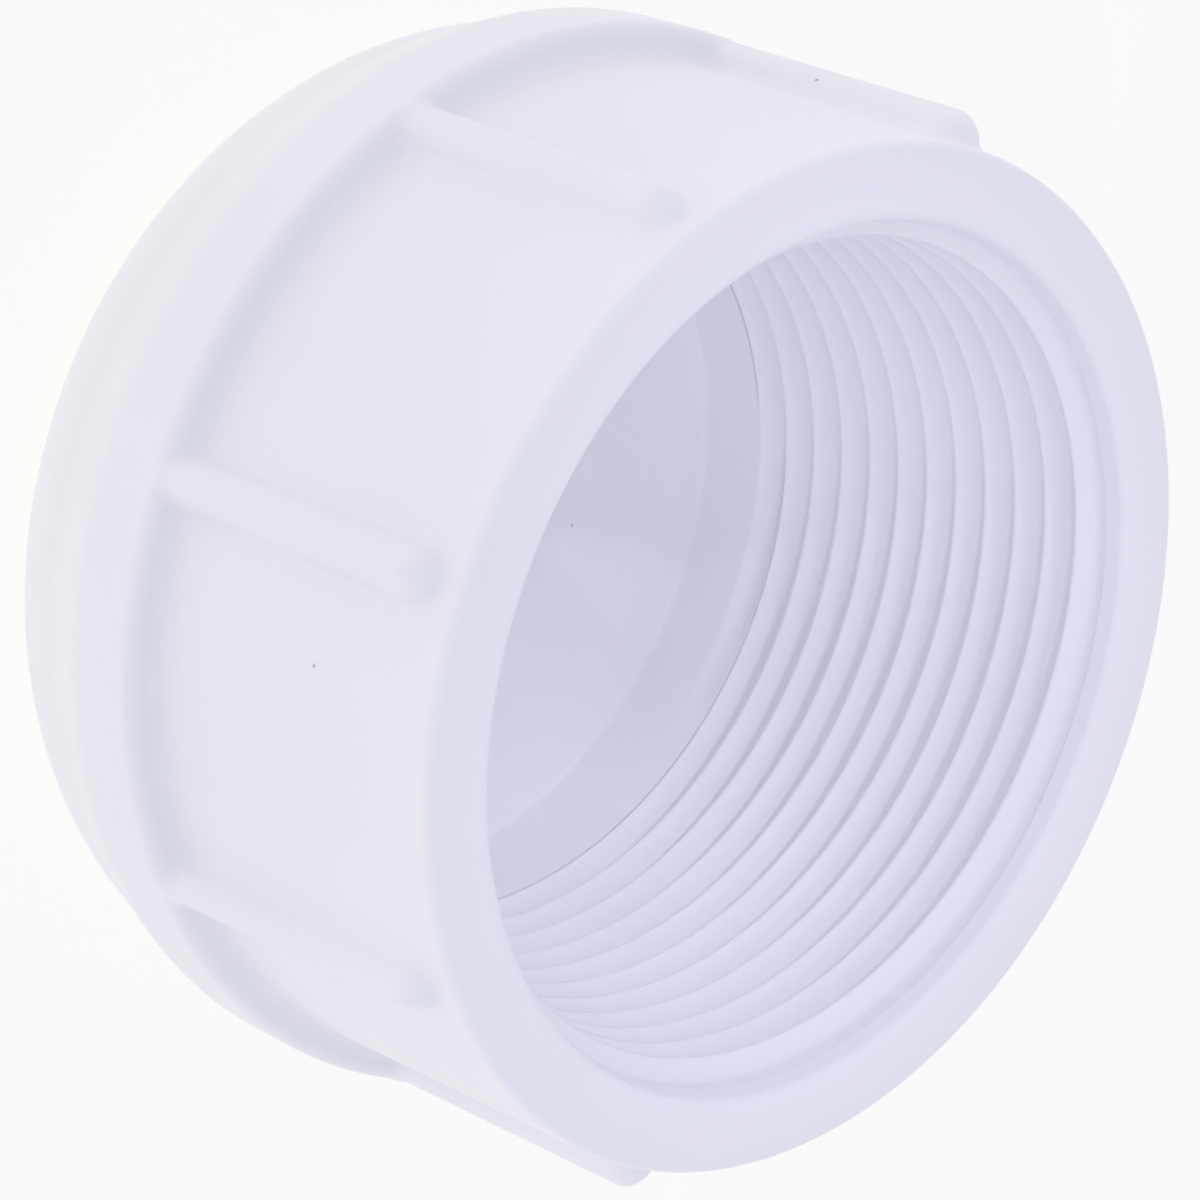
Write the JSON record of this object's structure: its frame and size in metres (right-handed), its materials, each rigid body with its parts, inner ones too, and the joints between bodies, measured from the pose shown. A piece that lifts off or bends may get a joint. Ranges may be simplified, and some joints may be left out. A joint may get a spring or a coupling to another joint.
{
  "type": "threaded pipe cap",
  "caption": "Round female-threaded end cap with a ribbed grip skirt, a raised band and a thick rounded closed end that seals a pipe.",
  "frame": {"origin": "centre of the outer end face, which the cap stands on with its mouth up", "axes": "+Z along the thread axis, out of the mouth; grip rib 1 lies on +X"},
  "size_m": [0.0616, 0.0616, 0.038],
  "materials": {
    "white_pvc": "satin moulded white PVC"
  },
  "bodies": {
    "root": {"domed_end": "white_pvc", "end_band": "white_pvc", "skirt_wall": "white_pvc", "mouth_rim": "white_pvc", "internal_thread": "white_pvc", "grip_rib_1": "white_pvc", "grip_rib_2": "white_pvc", "grip_rib_3": "white_pvc", "grip_rib_4": "white_pvc", "grip_rib_5": "white_pvc", "grip_rib_6": "white_pvc", "grip_rib_7": "white_pvc", "grip_rib_8": "white_pvc"}
  },
  "joints": []
}
